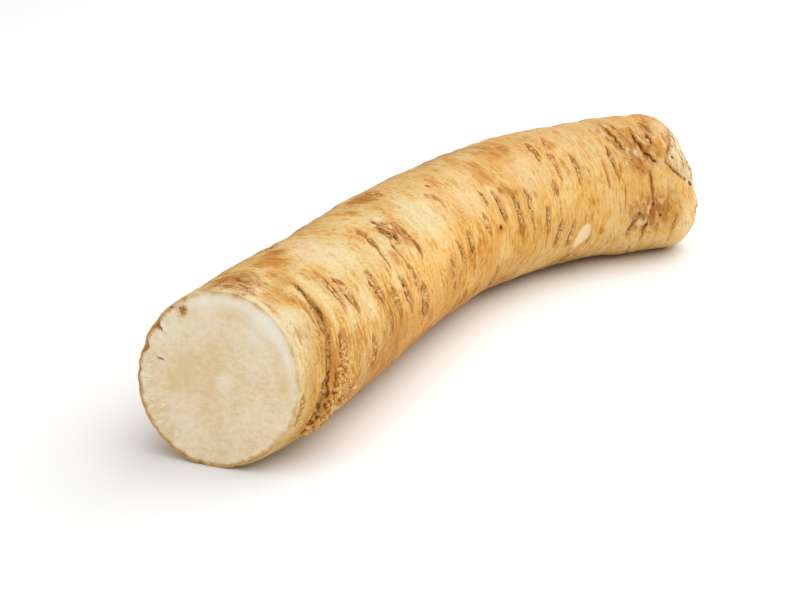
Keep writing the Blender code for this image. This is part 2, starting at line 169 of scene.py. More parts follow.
# Tinted patches: along, round, reach along, reach round (both mm), strength
tints = {
    # stains; the three long rows at -38, -29 and -22 degrees run along the upper outline and lay painted
    # shade there
    "stain": (
        (8, -7, 8, 8, 1.15), (4, 8, 5, 4, 0.8), (36, -9, 3.5, 3, 0.9), (41, -22, 5, 2.4, 1),
        (253, 108, 2, 2, 0.9), (60, -38, 60, 5, 0.8), (150, -29, 40, 5, 0.85), (215, -22, 40, 5, 0.9),
        (18, 110, 6, 9, 0.5), (95, -13, 5, 3.5, 0.9), (103, -8, 2.6, 3, 1), (157, 30, 2.2, 5, 0.55),
        (77.5, 29, 3.4, 4.2, 0.7), (230, 102, 10, 7, 0.7), (233, 45, 4.5, 4.5, 0.4), (227, 31, 3, 5, 0.5),
        (230, 60, 3, 3.5, 0.45), (236, 53, 2.4, 3, 0.5), (245.5, 40, 2, 6, 0.8), (238, 22, 2, 4, 0.7),
        (14.5, 98, 3, 9, 0.5), (98, -11, 10, 3.4, 1.2), (219, 20, 5, 6, 0.6), (150, -14, 20, 5, 0.5),
        (222, 12, 5, 5, 0.6), (225, 28, 3.2, 5, 0.55), (15, 95, 4, 8, 0.4), (20, 120, 9, 6, 0.5),
        (103, 87, 3, 4, 0.45), (112.8, 83, 2, 5, 0.5), (183, 27, 2.4, 4, 0.5), (190, 25, 4.5, 3, 0.7),
        (247, 33, 2, 4.5, 0.7), (118, 1, 4, 2, 0.35), (146, -10, 9, 3, 0.4), (154, 47, 1.5, 2, 0.9),
        (155.5, 50, 2, 3.5, 0.6), (45, -24, 9, 4, 0.5), (70, -26, 12, 3, 0.4),
    ),
    "rust": (
        (82.4, 32, 2.4, 4.4, 0.7), (74.6, 31, 3, 3.6, 0.4), (98, -12, 9, 4, 0.5), (112, 90, 14, 7, 0.25),
        (97, 91, 1.2, 6, 0.6), (103.5, 82, 1.5, 7, 0.6), (108, 92, 1.4, 6, 0.6), (113.5, 76, 1.4, 7, 0.6),
        (118.5, 92, 1.6, 5, 0.5), (126, 100, 1.4, 6, 0.5), (232, 73, 1.4, 7, 0.5), (9, 27, 4, 5, 0.7),
        (17, 21, 5, 3, 0.7), (8, 62, 3, 8, 0.5), (6, 84, 3, 8, 0.5), (27, 1, 6, 5, 0.8),
        (34, -8, 6, 3, 0.9), (20, 12, 6, 3, 0.6), (68.1, 49, 2, 2.8, 1), (79.5, 38, 2.4, 2.4, 0.8),
        (150, 31, 4.5, 5, 0.8), (158, 58, 1.2, 5, 0.7), (60.6, 50, 1.4, 2.4, 0.5), (74.8, 43, 1.2, 2, 0.7),
        (52, 80, 3, 4, 0.6), (12, 33, 2, 5, 0.4), (127, 14, 2.5, 2, 0.6), (165.8, 18, 3.2, 2.4, 0.8),
        (169, 28, 3.5, 1.6, 0.5), (103, 82, 8, 5, 0.4), (154, 49, 2.4, 0.9, 1), (15, 80, 3, 7, 0.8),
        (193, 24, 2.4, 2.2, 0.7), (208.1, 110.6, 1.8, 1.6, 0.8), (197.8, 47, 1.8, 2.4, 0.6),
        (216, 47, 1.3, 3.5, 0.7), (211, 62, 0.9, 5, 0.6), (182.8, 63, 1.1, 2.6, 0.9),
        (187.4, 53, 1, 2.6, 0.9), (228, 64, 2, 2.6, 0.7), (249, 30, 1.6, 4, 0.6), (144, 78, 4, 1.4, 0.6),
        (131, 95, 14, 6, 0.35), (60, 105, 26, 9, 0.3), (150, 112, 26, 8, 0.3), (219, 95, 2, 8, 0.3),
        (237, 101, 7, 8, 0.7),
    ),
    "warm": (
        (164, 19, 8, 5, 0.7), (174, 28, 8, 5, 0.4), (146, 28, 10, 5, 0.5), (100, 100, 14, 6, 0.6),
        (90, 70, 12, 6, 0.4), (64, 94, 16, 6, 0.6), (8, 30, 5, 6, 0.5), (168, 40, 10, 4, 0.3),
        (232, 84, 8, 6, 0.5), (140, 80, 8, 5, 0.4), (8, 104, 4, 8, 0.5), (150, 72, 12, 3, 0.3),
    ),
    "pale": (
        (31, 64, 7, 5, 0.6), (42, 62, 6, 6, 0.6), (5, 64, 5, 7, 0.6), (122, 96, 8, 6, 0.5),
        (148, 98, 6, 5, 0.6), (152, 0, 12, 6, 0.4), (128, 60, 6, 6, 0.4), (147.5, 50, 2.4, 4, 1),
        (172, 40, 6, 8, 0.7), (168, 60, 3, 5, 0.6), (180, 74, 5, 5, 0.5), (68, 40, 5, 6, 0.5),
        (78, 46, 4, 4, 0.6), (70, 8, 12, 6, 0.3), (46, 24, 12, 12, 0.75), (6, 49, 6, 6, 0.7),
        (24, 50, 5, 8, 0.5), (102, 36, 13, 11, 1), (62, 48, 4, 9, 0.5), (80, 20, 5, 4, 0.6),
        (152, 67, 2.6, 3, 0.6), (134, 48, 7, 7, 0.5), (141, 22, 6, 6, 0.4), (205, 40, 12, 12, 0.45),
        (178, 43, 6, 6, 0.4), (243, 27, 4.5, 5, 0.6), (205, 82, 10, 8, 0.3), (90, 60, 12, 7, 0.35),
        (190, 66, 9, 5, 0.5), (205, 2, 22, 9, 0.5), (248, 108, 5, 8, 0.6), (233.6, 30, 2, 3, 1),
        (226.5, 48, 2.6, 3, 0.9), (237, 60, 2.4, 2, 0.7), (224, 104, 7, 5, 0.5), (240, 82, 8, 6, 0.4),
        (213, 95, 9, 7, 0.5),
    ),
}

# Places where the skin is crumpled into a tangle of small folds, written as the tints are
tangles = (
    (77, 30, 5.5, 5.5, 1), (75, 39, 3.6, 4.2, 0.9), (81, 39, 3.4, 6, 0.8), (230, 39, 8.5, 9.5, 1),
    (222, 28, 4.4, 9, 0.9), (236, 52, 4, 4, 0.8), (238, 26, 4, 6, 0.6), (231, 101, 10, 8, 1),
    (227, 60, 3.5, 4, 0.6), (244, 40, 3, 8, 0.5), (6, -6, 6, 6, 0.4), (60, 205, 6, 6, 0.7),
    (138, 250, 6, 7, 0.8), (98, 300, 5, 5, 0.6), (214, 190, 7, 9, 0.7), (228, 260, 8, 9, 0.8),
)

# The flat oval where the skin was nicked: along, round, half length, half width, slant
peel = (197.7, 111, 5, 3.6, -0.35)

# Where the corky end begins, as millimetres along at each angle round
corkBorder = {
    0: 254.5, 14: 254, 22: 249.5, 42: 245.8, 56: 241.2, 67: 244.2, 75: 248.6, 80: 251, 90: 252.5,
    110: 253.5, 150: 252, 190: 251, 240: 250, 290: 251, 330: 254, 360: 254.5,
}

# Nicks in the rim of the cut: degrees round, half width, depth, how far the brown runs into the face
chips = (
    (331, 1, 0.5, 1.2), (318, 1.2, 0.3, 1), (304, 1.5, 0.8, 2.6), (296, 0.7, 0.3, 0.8), (286, 2, 0.8, 2.6),
    (270, 1.4, 0.4, 1.5), (259, 1, 0.3, 1.2), (243, 0.6, 0.2, 1), (227, 0.7, 0.3, 0.9), (215, 2.4, 0.4, 1),
    (201, 1.2, 0.3, 1.3), (188, 1, 0.3, 1.3), (162, 0.5, 0.2, 1.2), (150, 0.9, 0.2, 1.1),
    (141, 0.4, 0.1, 0.8), (106, 0.4, 0.1, 0.7), (317, 0.8, 0.5, 0.8), (278, 0.7, 0.4, 1),
    (12, 0.5, 0.1, 0.5), (173, 0.4, 0.1, 0.7),
)

# Brown spots and the thin lines between them on the cut: up, right (mm from its middle), half width
burrs = (
    ((17.6, -11.2, 1), (16.7, -11.7, 1.1)), ((17.3, -11.3, 0.25), (17.7, -13.4, 0.2), (17.4, -15.6, 0.35)),
    ((20, -11.5, 0.3), (21.5, -11.6, 0.35)), ((12.4, -18.9, 0.9), (13.4, -18.6, 0.7)),
    ((12.4, -18.8, 0.3), (11.2, -17, 0.25)), ((5.8, -22, 0.7), (7.6, -21.6, 0.7)),
    ((3.6, -17.6, 0.25), (3.4, -15.9, 0.2)),
)

# What the far side and the underside carry: how many of each, and the limits between which every value of
# its row is drawn
hiddenSide = {
    "seed": 41,
    "scars": (30, (10, 236), (135, 320), (2.8, 7.5), (1.1, 1.9), (0.5, 1), (-0.25, 0.25)),
    "secondSeed": 77,
    "creases": (46, (6, 246), (125, 335), (1.5, 7), (0.5, 0.8), (0.15, 0.4), (-0.15, 0.15)),
    "tints": (16, (5, 245), (135, 322), (2.5, 11), (3, 12), (0.4, 0.95)),
}

# Short fine creases all over, drawn in the same way, but the first value of a row is a share of the reach
fineMarks = {
    "seed": 23,
    "rows": (150, (0, 1), (0, 360), (0.9, 4.2), (0.4, 0.62), (0.03, 0.16), (-0.12, 0.12)),
    "along": (6, 240, 0.62),  # start and reach in mm, and a power under 1 that crowds them towards the crown
}

# Stubs of fine rootlets below the collar groove, drawn in the same way as rows of the raised places
stubs = {"seed": 9, "rows": (22, (13, 30), (98, 138), (1.5, 2.4), (0.4, 1.3))}

# Crumbs of broken rootlets under the collar groove, along a line of places: along, round and spread
crumbs = {
    "seed": 5, "count": 340, "radius": (0.35, 1),
    # two tilts in radians and a stretch each way
    "forms": ((-0.7, 0.7), (-0.7, 0.7), (0.6, 1.1), (0.6, 1.1), (0.9, 1.7)),
    "bends": 2.6, "bendDepth": 0.45,
    "line": (
        (21, 84, 0.7), (20.5, 92, 1.8), (19, 101, 3.4), (17.5, 110, 4.8), (16, 120, 5.2), (13.5, 130, 4),
    ),
}


def smoothStep(low, high, value):
    step = np.clip((value - low) / (high - low), 0, 1)
    return step * step * (3 - 2 * step)


def bell(value, middle, width):
    return np.exp(-(((value - middle) / width) ** 2))


def curveThrough(values):
    return np.polynomial.Polynomial.fit(np.linspace(0, 1, len(values)), values, len(values) - 1)


def latticeValue(x, y, z, seed):
    mixed = (x * 374761393 + y * 668265263 + z * 1440662683 + seed * 1274126177) & 0xFFFFFFFF
    mixed = ((mixed ^ (mixed >> 13)) * 1274126177) & 0xFFFFFFFF
    return ((mixed ^ (mixed >> 16)) & 0xFFFF) / 32767.5 - 1


def lumps(place, sizes, seed, layers=2):
    # soft noise about zero whose lumps have the given sizes in mm
    total = 0
    for layer in range(layers):
        spot = [axis / size * 2**layer for axis, size in zip(place, sizes)]
        cell = [np.floor(axis).astype(np.int64) for axis in spot]
        ease = [smoothStep(0, 1, axis - whole) for axis, whole in zip(spot, cell)]
        for corner in range(8):
            steps = [corner >> bit & 1 for bit in range(3)]
            weight = 0.5**layer
            for share, step in zip(ease, steps):
                weight = weight * (share if step else 1 - share)
            lattice = (whole + step for whole, step in zip(cell, steps))
            total = total + weight * latticeValue(*lattice, seed + layer)
    return total


def bentAxis():
    along = np.linspace(0, body["length"], 1200)
    heading = curveThrough(np.radians(body["headings"]))(along / body["length"])
    middle = (heading[1:] + heading[:-1]) / 2
    x = body["start"][0] + np.concatenate([[0], np.cumsum(np.cos(middle)) * along[1]])
    y = body["start"][1] + np.concatenate([[0], np.cumsum(np.sin(middle)) * along[1]])
    return along, heading, x, y


def waveHeight(along, around, seed, count, shortest, longest, turns):
    # many waves along the root, each also turning a few times round it, about as high as one
    draw, total = random.Random(seed), 0
    for _ in range(count):
        rate = 2 * math.pi / draw.uniform(shortest, longest)
        turned = draw.randint(-turns, turns) * around
        total = total + np.cos(rate * along + turned + draw.uniform(0, 2 * math.pi))
    return total / math.sqrt(count / 2)


def drawRow(draw, limits):
    return tuple(draw.uniform(*pair) for pair in limits)


def drawRows(draw, count, *limits):
    return [drawRow(draw, limits) for _ in range(count)]


def hiddenMarks():
    backScars = drawRows(random.Random(hiddenSide["seed"]), *hiddenSide["scars"])
    draw = random.Random(hiddenSide["secondSeed"])
    backCreases = drawRows(draw, *hiddenSide["creases"])
    return backScars, backCreases, {kind: drawRows(draw, *hiddenSide["tints"]) for kind in tints}


def drawnFineMarks():
    rows = drawRows(random.Random(fineMarks["seed"]), *fineMarks["rows"])
    start, reach, crowding = fineMarks["along"]
    return [(start + reach * share**crowding, *rest) for share, *rest in rows]


def arcFrom(around, degrees):
    turn = around - math.radians(degrees)
    return body["meanRadius"] * (np.mod(turn + math.pi, 2 * math.pi) - math.pi)


def awayFrom(along, around, place, degrees):
    return np.hypot(along - place, arcFrom(around, degrees))


def bump(along, around, place, degrees, radius):
    return np.exp(-1.6 * (awayFrom(along, around, place, degrees) / radius) ** 2)


def besideLens(along, around, mark):
    place, degrees, _, _, _, slant = mark
    return along - place - slant * arcFrom(around, degrees)


def lensInside(along, around, mark, ragged):
    # 1 in the middle of a lens, 0 on its edge and less outside
    _, degrees, halfLength, halfWidth, _, _ = mark
    across = np.abs(besideLens(along, around, mark))
    return 1 - (arcFrom(around, degrees) / halfLength) ** 2 - across / halfWidth + ragged


def besideLine(offset, run, widths):
    # the same for one straight part of a line, and how far in mm a place lies to one side of it; offset is
    # from the start of that part
    share = np.clip((offset[0] * run[0] + offset[1] * run[1]) / (run[0] ** 2 + run[1] ** 2), 0, 1)
    distance = np.hypot(offset[0] - share * run[0], offset[1] - share * run[1])
    inside = 1 - distance / (widths[0] + share * (widths[1] - widths[0]))
    return inside, np.sign(offset[0] * run[1] - offset[1] * run[0]) * distance


def grooveInside(along, around, path, ragged):
    inside, side = np.full(along.shape, -9.0), np.zeros(along.shape)
    for (placeA, degreesA, widthA), (placeB, degreesB, widthB) in zip(path, path[1:]):
        run = placeB - placeA, math.radians(degreesB - degreesA) * body["meanRadius"]
        here, beside = besideLine((along - placeA, arcFrom(around, degreesA)), run, (widthA, widthB))
        here = here + ragged
        side = np.where(here > inside, beside, side)
        inside = np.maximum(inside, here)
    return inside, side


def tinted(along, around, spots):
    # the strongest of some soft patches at each place
    total = np.zeros(along.shape)
    for place, degrees, reachAlong, reachRound, strength in spots:
        away = np.hypot((along - place) / reachAlong, arcFrom(around, degrees) / reachRound)
        total = np.maximum(total, strength * (1 - smoothStep(0.35, 1.5, away)))
    return total


def keepDeepest(fields, kind, inside, **values):
    # where a mark is deeper than those before it, its own values take their place
    for name, value in values.items():
        fields[name] = np.where(inside > fields[kind], value, fields[name])
    fields[kind] = np.maximum(fields[kind], inside)


def plainRelief(along, around, grown):
    # swells, ridges across the root, many shallow rings, and sharper wrinkles where those happen to be deep
    relief = heights["swell"] * waveHeight(along, around, *waves["swell"])
    patches = 0.65 + 0.35 * waveHeight(along, around, *waves["patch"])
    relief += heights["ridge"] * waveHeight(along, around, *waves["ridge"]) * np.clip(patches, 0.15, 1.3)
    wander = [axis + 3 * lumps(grown, (16, 16, 16), 21 + i) for i, axis in enumerate(grown)]
    relief += heights["ring"] * lumps(wander, (1.7, 9, 9), 31, 3)
    relief -= heights["wrinkle"] * smoothStep(0.25, 0.8, lumps(wander, (2.4, 13, 13), 35))
    return relief + heights["grain"] * lumps(grown, (1, 1.3, 1.3), 37)


def scarRelief(bent, around, marks, ragged, stripes, fields):
    # a lip round each scar, a cleft along its nearer side and a torn floor
    relief, draw = 0, random.Random(6)
    for mark in marks:
        _, degrees, halfLength, halfWidth, depth, _ = mark
        inside = lensInside(*bent, mark, ragged)
        side, end = besideLens(bent[0], around, mark) / halfWidth, arcFrom(around, degrees) / halfLength
        cleft = heights["scarCleft"] * bell(side, -0.45, 0.4) * smoothStep(-0.6, 0.2, inside)
        floor = smoothStep(-0.1, 0.8, inside) * (0.5 - 0.3 * stripes)
        relief = relief + depth * (heights["scarLip"] * bell(inside, -0.35, 0.3) - cleft - floor)
        tone = draw.uniform(0.75 if mark in scars else 0.45, 1) * min(1, depth + 0.3)
        keepDeepest(fields, "scar", inside, scarSide=side, scarEnd=end, scarTone=tone)
    return relief


def grooveRelief(bent, ragged, stripes, fields):
    # the collar groove is as corky as a scar, and the others are cracks
    relief = 0
    for name, (depth, dark, path) in grooves.items():
        inside, side = grooveInside(*bent, path, 0.5 * ragged)
        floor = smoothStep(0, 0.9, inside) * (1 - 0.2 * stripes)
        relief = relief + depth * (heights["grooveLip"] * bell(inside, -0.5, 0.4) - floor)
        if name == "collar":
            turns = np.mod(np.degrees(bent[1]), 360)
            places, degrees, widths = zip(*path)
            side = (bent[0] - np.interp(turns, degrees, places)) / np.interp(turns, degrees, widths)
            keepDeepest(fields, "scar", inside, scarSide=side, scarEnd=0, scarTone=dark)
        else:
            keepDeepest(fields, "crack", inside, crackSide=side, crackTone=dark)
    return relief


def creaseRelief(bent, around, marks, ragged, fields):
    relief = 0
    for mark in marks:
        inside, depth = lensInside(*bent, mark, 0.8 * ragged), mark[4]
        relief = relief - depth * smoothStep(-0.4, 0.7, inside)
        side, tone = besideLens(bent[0], around, mark), min(1, 0.2 + 2.6 * depth)
        keepDeepest(fields, "crease", inside, creaseSide=side, creaseTone=tone)
    return relief


def spotRelief(along, around, grown, ragged, fields):
    # pits, knobs, stubs, the crumpled tangles and the rough patch under the collar
    relief = 0
    for place, degrees, size, depth in pits:
        away = awayFrom(along, around, place, degrees) / size
        keepDeepest(fields, "pit", 1 - away + ragged)
        relief = relief - depth * np.exp(-2 * away**2)
    for *where, height in [*knobs, *drawRows(random.Random(stubs["seed"]), *stubs["rows"])]:
        relief = relief + height * bump(along, around, *where)
    *where, height, sunk = roughPatch
    rough = bump(along, around, *where)
    relief = relief + rough * (height * np.abs(lumps(grown, (1.7, 1.7, 1.7), 51)) - sunk)
    fields["tangle"] = tinted(along, around, tangles)
    folds = fields["foldRise"] = lumps(grown, (1.9, 2.5, 2.5), 53)
    clefts = smoothStep(0.22, 0, np.abs(folds + 0.1))
    return relief + fields["tangle"] * (heights["fold"] * folds - heights["foldCleft"] * clefts)


def skinFields(along, around, radius):
    # the height of the skin over the plain body, and each field that the material reads
    backScars, backCreases, backTints = hiddenMarks()
    grown = (along, radius * np.cos(around), radius * np.sin(around))
    ragged = 0.34 * lumps(grown, (1.5, 2, 2), 11) + 0.26 * lumps(grown, (4, 5, 5), 13, 1)
    stripes = lumps(grown, (2, 0.9, 0.9), 41)
    jagged = [0.55 * lumps(grown, (2.4, 2.4, 2.4), 43 + i) for i in range(2)]
    bent = (along + jagged[0] + 0.5 * lumps(grown, (7, 7, 7), 47, 1), around + jagged[1] / radius)
    fields = {kind: np.full(along.shape, -1.0) for kind in ("scar", "crack", "crease", "pit")}
    for name in ("scarSide", "scarEnd", "scarTone", "crackSide", "crackTone", "creaseSide", "creaseTone"):
        fields[name] = np.zeros(along.shape)
    relief = plainRelief(along, around, grown)
    relief += scarRelief(bent, around, [*scars, *backScars], ragged, stripes, fields)
    relief += grooveRelief(bent, ragged, stripes, fields)
    relief += creaseRelief(bent, around, [*creases, *backCreases, *drawnFineMarks()], ragged, fields)
    relief += spotRelief(along, around, grown, ragged, fields)

    place, degrees, halfLength, halfWidth, slant = peel
    reach = arcFrom(around, degrees)
    inPeel = 1 - np.hypot(reach / halfLength, (along - place - slant * reach) / halfWidth)
    relief -= heights["peel"] * smoothStep(0, 0.18, inPeel)
    fields["peel"] = np.maximum(inPeel, -1)
    border = np.interp(np.mod(np.degrees(around), 360), list(corkBorder), list(corkBorder.values()))
    fields["cork"] = np.clip(along - border + 3 * ragged, -6, 6)
    for kind, spots in tints.items():
        fields[kind] = tinted(along, around, [*spots, *backTints[kind]])
    return relief, fields


def ringPlaces():
    # along, share of the full radius, and whether the ring lies on the cut
    rim, faceRings = grid["rimRadius"], grid["faceRings"]
    inner = 1 - rim / body["radii"][0]
    places = [(0, inner * (1 - (1 - i / faceRings) ** 1.25), 1) for i in range(1, faceRings)]
    for i in range(grid["rimRings"] + 1):
        turn = math.pi / 2 * i / grid["rimRings"]
        places.append((rim * (1 - math.cos(turn)), inner + (1 - inner) * math.sin(turn), 1))
    tube = body["length"] - body["crownLength"]
    count = round((tube - rim) / grid["ringSpacing"])
    places += [(rim + (tube - rim) * i / count, 1, 0) for i in range(1, count + 1)]
    for i in range(1, grid["crownRings"]):
        turn = math.pi / 2 * i / grid["crownRings"]
        reach, share = (turned(turn) ** (2 / body["crownPower"]) for turned in (math.sin, math.cos))
        places.append((tube + body["crownLength"] * reach, share, 0))
    return places


def crownRelief(up, right):
    seed, count, shortest, longest = waves["crown"]
    draw, total = random.Random(seed), 0
    for _ in range(count):
        rate = 2 * math.pi / draw.uniform(shortest, longest)
        way, phase = draw.uniform(0, math.pi), draw.uniform(0, 2 * math.pi)
        total = total + np.cos(rate * (up * math.cos(way) + right * math.sin(way)) + phase)
    return heights["crown"] * total / math.sqrt(count / 2)


def rimNicks(around):
    nick, brown = 0, 0
    for degrees, halfWidth, depth, run in chips:
        share = bell(arcFrom(around, degrees), 0, halfWidth)
        nick, brown = np.maximum(nick, depth * share), np.maximum(brown, run * share)
    return nick, brown


def burrInside(up, right):
    inside = np.full(up.shape, -3.0)
    for path in burrs:
        for (upA, rightA, widthA), (upB, rightB, widthB) in zip(path, path[1:]):
            here, _ = besideLine((up - upA, right - rightA), (upB - upA, rightB - rightA), (widthA, widthB))
            inside = np.maximum(inside, here)
    return inside


def growSkin(along, around, share, onCut):
    # the point in metres for each place on the skin, and the fields there
    samples, headings, axisX, axisY = bentAxis()
    heading = np.interp(along, samples, headings)
    radius = curveThrough(body["radii"])(along / body["length"])
    relief, fields = skinFields(along, around, radius)
    nick, brown = rimNicks(around)
    relief -= nick * np.exp(-along / 1.2)
    weight = np.where(onCut, share**14, smoothStep(0, 0.6, share))
    reach = (radius + relief * weight) * share
    up, right = reach * np.cos(around), reach * np.sin(around)

    # how far the skin is moved along the axis: both ends lean, and have a relief of their own
    nearCut = np.clip(1 - along / body["cutBlend"], 0, 1) ** 2
    nearCrown = np.clip(1 - (body["length"] - along) / body["crownBlend"], 0, 1) ** 2
    shift = nearCut * (body["cutLean"] * up + body["cutTurn"] * right) - nearCrown * body["crownLean"] * up
    onCrown = smoothStep(body["length"] - body["crownLength"], body["length"], along)
    shift += crownRelief(up, right) * onCrown
    corky = smoothStep(-0.5, 1.5, fields["cork"]) * onCrown
    shift += corky * (heights["cork"] * lumps((up, right, along), (3.2, 3.2, 6), 61, 3) - 0.3)
    inward = (1 - share) * radius
    onFace = smoothStep(0.2, 2, inward) * onCut
    saw, dents = lumps((0 * up, up, right), (9, 1.1, 5), 71, 3), lumps((0 * up, up, right), (9, 9, 9), 73)
    shift -= onFace * (heights["saw"] * saw + heights["faceDent"] * dents)
    shift += onCut * brown * heights["chipEdge"] * bell(inward, 0, np.maximum(brown, 0.2))
    fields["burr"] = np.where(onCut, burrInside(up, right), -3)
    shift += heights["burr"] * smoothStep(-0.3, 0.8, fields["burr"])
    x = np.interp(along, samples, axisX) + np.cos(heading) * shift + np.sin(heading) * right
    y = np.interp(along, samples, axisY) + np.sin(heading) * shift - np.cos(heading) * right
    z = np.maximum(radius - body["restSink"] + up, 0)

    fields["flesh"] = np.where(onCut, inward, -along)
    fields["brownRun"] = brown + 0 * along
    leftRim = smoothStep(0.1, -0.5, np.sin(around)) * smoothStep(0.95, 0.6, np.cos(around))
    fields["darkRim"] = np.maximum(leftRim, smoothStep(-0.3, -0.8, np.cos(around)))
    grown = np.stack([along, share * radius * np.cos(around), share * radius * np.sin(around)], axis=-1)
    return np.stack([x, y, z], axis=-1) * mm, fields, grown


def addField(mesh, name, values, kind="FLOAT", key="value"):
    layer = mesh.attributes.new(name, kind, "POINT")
    layer.data.foreach_set(key, np.asarray(values, np.float32).ravel())


def rootMesh():
    places = ringPlaces()
    sides, rings = grid["sides"], len(places)
    along, share, onCut = (np.repeat(np.array(column)[:, None], sides, axis=1) for column in zip(*places))
    around = np.tile(np.arange(sides) * 2 * math.pi / sides, (rings, 1))
    points, fields, grown = growSkin(along, around, share, onCut)
    poles = np.array([0.0, body["length"]]), np.zeros(2), np.zeros(2), np.array([1, 0])
    polePoints, poleFields, poleGrown = growSkin(*poles)

    def withPoles(values, poleValues, width):
        return np.concatenate([values.reshape(-1, width), poleValues.reshape(2, width)])

    cutPole, crownPole = rings * sides, rings * sides + 1
    index = np.arange(rings * sides).reshape(rings, sides)
    nearby = np.roll(index, -1, axis=1)
    faces = np.stack([index[:-1], nearby[:-1], nearby[1:], index[1:]], axis=-1).reshape(-1, 4).tolist()
    faces += [(cutPole, int(nearby[0, i]), int(index[0, i])) for i in range(sides)]
    faces += [(int(index[-1, i]), int(nearby[-1, i]), crownPole) for i in range(sides)]
    mesh = bpy.data.meshes.new("horseradishSkin")
    mesh.from_pydata(withPoles(points, polePoints, 3).tolist(), [], faces)
    for name, values in fields.items():
        addField(mesh, name, withPoles(values, poleFields[name], 1))
    addField(mesh, "grown", withPoles(grown, poleGrown, 3), "FLOAT_VECTOR", "vector")
    layOutForBaking(mesh, places, sides)
    mesh.shade_smooth()
    mesh.validate()
    return mesh


def layOutForBaking(mesh, places, sides):
    # the tube unrolled across the top of the square, the cut and the crown as two discs below it
    last, tube = len(places) - 1, body["length"] - body["crownLength"]
    firstTube = next(i for i, place in enumerate(places) if not place[2]) - 1
    firstCrown = next(i for i, place in enumerate(places) if place[0] > tube + 0.01) - 1
    discs = {"cut": (0.17, 0.16, firstTube), "crown": (0.50, 0.16, last - firstCrown)}

    def onDisc(which, ring, step):
        # rings are counted from the disc's own pole
        across, up, rings = discs[which]
        turn, reach = 2 * math.pi * step / sides, 0.15 * (ring + 1) / (rings + 1)
        return across + reach * math.sin(turn), up + reach * math.cos(turn)

    def spot(ring, atRing, step):
        if ring < firstTube:
            return onDisc("cut", atRing, step)
        if ring >= firstCrown:
            return onDisc("crown", last - atRing, step)
        return 0.02 + 0.96 * places[atRing][0] / tube, 0.34 + 0.64 * step / sides

    spots = []
    for ring in range(last):
        for side in range(sides):
            corners = ((ring, side), (ring, side + 1), (ring + 1, side + 1), (ring + 1, side))
            spots += [spot(ring, *corner) for corner in corners]
    for side in range(sides):
        spots += [discs["cut"][:2], onDisc("cut", 0, side + 1), onDisc("cut", 0, side)]
    for side in range(sides):
        spots += [onDisc("crown", 0, side), onDisc("crown", 0, side + 1), discs["crown"][:2]]
    layer = mesh.uv_layers.new(name="OFBake")
    layer.data.foreach_set("uv", np.array(spots, np.float32).ravel())


def crumbPlaces(draw):
    line, places = crumbs["line"], []
    for _ in range(crumbs["count"]):
        step = draw.uniform(0, len(line) - 1.001)
        (alongA, roundA, spreadA), (alongB, roundB, spreadB) = line[int(step) : int(step) + 2]
        share, spread = step % 1, draw.gauss(0, 0.6)
        along = alongA + share * (alongB - alongA) + spread * (spreadA + share * (spreadB - spreadA))
        places.append((along, math.radians(roundA + share * (roundB - roundA) + draw.gauss(0, 2))))
    return np.array(places).T


def crumbMesh():
    draw = random.Random(crumbs["seed"])
    blobs, tips = bmesh.new(), []
    samples, headings, _, _ = bentAxis()
    along, around = crumbPlaces(draw)
    points = growSkin(along, around, np.ones(along.shape), np.zeros(along.shape))[0]
    for point, heading, turn in zip(points, np.interp(along, samples, headings), around):
        sideways, lift = math.sin(turn), math.cos(turn)
        outward = Vector((math.sin(heading) * sideways, -math.cos(heading) * sideways, lift))
        radius = draw.uniform(*crumbs["radius"]) * mm
        upright = outward.to_track_quat("Z", "Y").to_matrix().to_4x4()
        tiltX, tiltY, *stretch = drawRow(draw, crumbs["forms"])
        lean = Matrix.Rotation(tiltX, 4, "X") @ Matrix.Rotation(tiltY, 4, "Y")
        form = Matrix.Diagonal((*stretch, 1))
        place = Matrix.Translation(Vector(point))
        phase = [draw.uniform(0, 2 * math.pi) for _ in range(3)]
        for vertex in bmesh.ops.create_icosphere(blobs, subdivisions=2, radius=radius)["verts"]:
            spot = vertex.co / radius
            # each point's outward height, which the material turns into painted light on the crumbs' tops and
            # painted shade at their bases
            tips.append(spot.z)
            dent = sum(math.sin(crumbs["bends"] * axis + shift) for axis, shift in zip(spot, phase))
            vertex.co = place @ upright @ lean @ form @ (vertex.co * (1 + crumbs["bendDepth"] * dent / 2))
    mesh = bpy.data.meshes.new("rootletCrumbs")
    blobs.to_mesh(mesh)
    blobs.free()
    addField(mesh, "tip", tips)
    mesh.shade_smooth()
    return mesh


class Wire:
    # one socket of a material, so that shader maths reads as sums
    def __init__(self, maker, socket):
        self.maker, self.socket = maker, socket

    def math(self, operation, *others):
        values = dict(enumerate((self, *others)))
        return self.maker.node("Math", {"operation": operation}, values)

    def __add__(self, other):
        return self.math("ADD", other)

    def __sub__(self, other):
        return self.math("SUBTRACT", other)

    def __mul__(self, other):
        return self.math("MULTIPLY", other)

    def __rsub__(self, other):
        return self.maker.node("Math", {"operation": "SUBTRACT"}, {0: other, 1: self})

    __radd__, __rmul__ = __add__, __mul__

    def clipped(self):
        return self.maker.node("Math", {"operation": "ADD", "use_clamp": True}, {0: self, 1: 0})

    def size(self):
        return self.math("ABSOLUTE")

    def larger(self, other):
        return self.math("MAXIMUM", other)

    def rise(self, low, high):
        # 0 up to low, 1 from high on; low may be the larger one
        if low > high:
            return 1 - self.rise(high, low)
        values = {"Value": self, "From Min": low, "From Max": high}
        return self.maker.node("MapRange", {"interpolation_type": "SMOOTHSTEP"}, values)

    def band(self, middle, halfWidth):
        return (self - middle).size().rise(halfWidth, 0)


